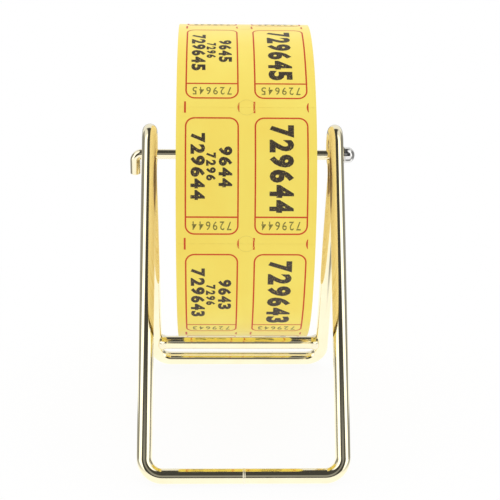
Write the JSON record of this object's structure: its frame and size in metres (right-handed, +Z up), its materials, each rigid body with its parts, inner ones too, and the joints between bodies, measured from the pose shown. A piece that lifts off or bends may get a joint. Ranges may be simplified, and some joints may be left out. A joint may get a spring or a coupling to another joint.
{
  "type": "counter ticket roll stand",
  "caption": "Wire counter stand with eyes at its side frames' tops, a hooked rod with a domed cap lying in them, and a roll of numbered tickets that turns on the rod.",
  "frame": {"origin": "on the table that the two rails stand on, straight under the middle of the rod", "axes": "+X along the rod towards its capped end, +Y from the front rail to the rear rail, +Z up"},
  "size_m": [0.0908, 0.1402, 0.1597],
  "materials": {
    "wire": "polished",
    "rod": "polished",
    "weld": "satin",
    "cap": "polished",
    "core_card": "matt card",
    "ticket_card": "matt printed card"
  },
  "bodies": {
    "stand": {"front_rail_left": "wire", "front_rail_right": "wire", "rail_seam": "weld", "front_leg_left": "wire", "front_leg_right": "wire", "eye_left": "wire", "eye_right": "wire", "rear_leg_left": "wire", "rear_leg_right": "wire", "rear_rail": "wire", "tear_bar": "wire", "bar_fillets": "weld"},
    "axle": {"axle_rod": "rod"},
    "cap": {"axle_cap": "cap"},
    "roll": {"roll_core": "core_card", "ticket_pack": "ticket_card", "outer_turn": "ticket_card"}
  },
  "joints": [
    {"name": "roll_spin", "type": "hinge", "parent": "stand", "child": "roll", "pos_m": [0, 0, 0.09738], "axis": [1, 0, 0], "continuous": true},
    {"name": "axle_turn", "type": "hinge", "parent": "stand", "child": "axle", "pos_m": [0, 0, 0.108], "axis": [1, 0, 0], "continuous": true},
    {"name": "cap_pull", "type": "slide", "parent": "axle", "child": "cap", "axis": [1, 0, 0], "range_m": [0, 0.006]}
  ]
}
